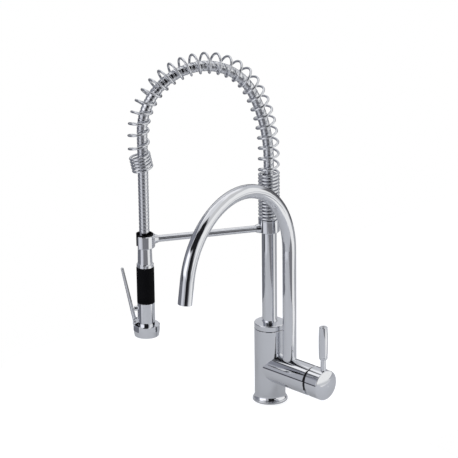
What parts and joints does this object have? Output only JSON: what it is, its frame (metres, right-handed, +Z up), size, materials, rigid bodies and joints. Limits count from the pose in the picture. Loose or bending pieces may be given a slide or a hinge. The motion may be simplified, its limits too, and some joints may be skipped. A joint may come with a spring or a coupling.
{
  "type": "pre rinse faucet",
  "caption": "Deck-mounted sink mixer with a sprung flexible hose arching from its riser to a parked hand spray, a swan-neck spout and a side lever cartridge.",
  "frame": {"origin": "centre of the foot, on the deck", "axes": "+Z up along the body and riser; +X along the side branch towards its lever; -Y to the front, where the user stands"},
  "size_m": [0.2585, 0.2971, 0.5935],
  "materials": {
    "polished_chrome": "polished",
    "spring_steel": "polished",
    "hose_steel": "satin",
    "screw_steel": "satin",
    "brass": "machined",
    "black_rubber": "matte",
    "dark_plastic": "satin",
    "cartridge_plastic": "satin",
    "bearing_plastic": "satin"
  },
  "bodies": {
    "body": {"foot_gasket": "black_rubber", "foot_ring": "polished_chrome", "valve_body": "polished_chrome", "side_branch": "polished_chrome", "body_cap": "polished_chrome", "riser_bush": "bearing_plastic", "spout_bush": "bearing_plastic", "riser_lock_screw": "screw_steel", "spout_lock_screw": "screw_steel", "cartridge_body": "cartridge_plastic", "cartridge_seals": "black_rubber", "cartridge_nut": "brass", "cartridge_cover": "dark_plastic"},
    "rotor": {"cartridge_rotor": "cartridge_plastic", "lift_pin": "screw_steel"},
    "handle": {"cartridge_stem": "brass", "handle_cap": "polished_chrome", "handle_screw": "screw_steel", "lever_pin": "polished_chrome", "lever_sleeve": "polished_chrome"},
    "spout": {"spout_tube": "polished_chrome", "spout_shank": "brass", "spout_seals": "black_rubber", "outlet_housing": "polished_chrome", "outlet_insert": "dark_plastic"},
    "riser": {"riser_tube": "polished_chrome", "riser_shank": "brass", "riser_seals": "black_rubber", "hose_nipple": "brass", "hose_top_ferrule": "screw_steel", "arm_collar": "polished_chrome", "collar_liner": "dark_plastic", "collar_screw": "screw_steel", "arm_rod": "polished_chrome", "holder_ring": "polished_chrome", "holder_liner": "black_rubber", "flexible_hose": "hose_steel", "arch_spring": "spring_steel"},
    "hand_spray": {"wand_neck": "polished_chrome", "hose_end_ferrule": "screw_steel", "wand_core": "brass", "grip_ring": "polished_chrome", "rubber_grip": "black_rubber", "handset_body": "polished_chrome", "spray_head": "polished_chrome", "spray_face": "dark_plastic", "lever_bracket": "polished_chrome", "lever_pivot_pin": "screw_steel"},
    "spray_lever": {"spray_lever": "polished_chrome"},
    "plunger": {"plunger": "polished_chrome", "return_spring": "spring_steel"}
  },
  "joints": [
    {"name": "riser_swivel", "type": "hinge", "parent": "body", "child": "riser", "pos_m": [0, 0, 0.111], "axis": [0, 0, 1], "range_deg": [-110, 36]},
    {"name": "hand_spray_pull", "type": "slide", "parent": "riser", "child": "hand_spray", "axis": [0, 0, -1], "range_m": [0, 0.06], "stiffness_N_per_m": 250, "springref_m": -0.03, "deforming": ["arch_spring", "flexible_hose"]},
    {"name": "spray_lever_squeeze", "type": "hinge", "parent": "hand_spray", "child": "spray_lever", "pos_m": [-0.11515, -0.18982, 0.16], "axis": [-0.7071, 0.7071, 0], "range_deg": [0, 9], "stiffness_Nm_per_rad": 1.2, "springref_deg": -11.46},
    {"name": "plunger_press", "type": "slide", "parent": "hand_spray", "child": "plunger", "axis": [0.7071, 0.7071, 0], "range_m": [0, 0.0032]},
    {"name": "spout_swivel", "type": "hinge", "parent": "body", "child": "spout", "pos_m": [0.044, 0, 0.06], "axis": [0, 0, 1], "range_deg": [-36, 80]},
    {"name": "temperature_turn", "type": "hinge", "parent": "body", "child": "rotor", "pos_m": [0.09, 0, 0.0585], "axis": [1, 0, 0], "range_deg": [-45, 45]},
    {"name": "flow_lift", "type": "hinge", "parent": "rotor", "child": "handle", "pos_m": [0.103, 0, 0.0585], "axis": [0, 1, 0], "range_deg": [0, 16]}
  ],
  "couplings": [
    {"joint": "plunger_press", "follows": "spray_lever_squeeze", "m_per_rad": 0.01987}
  ]
}
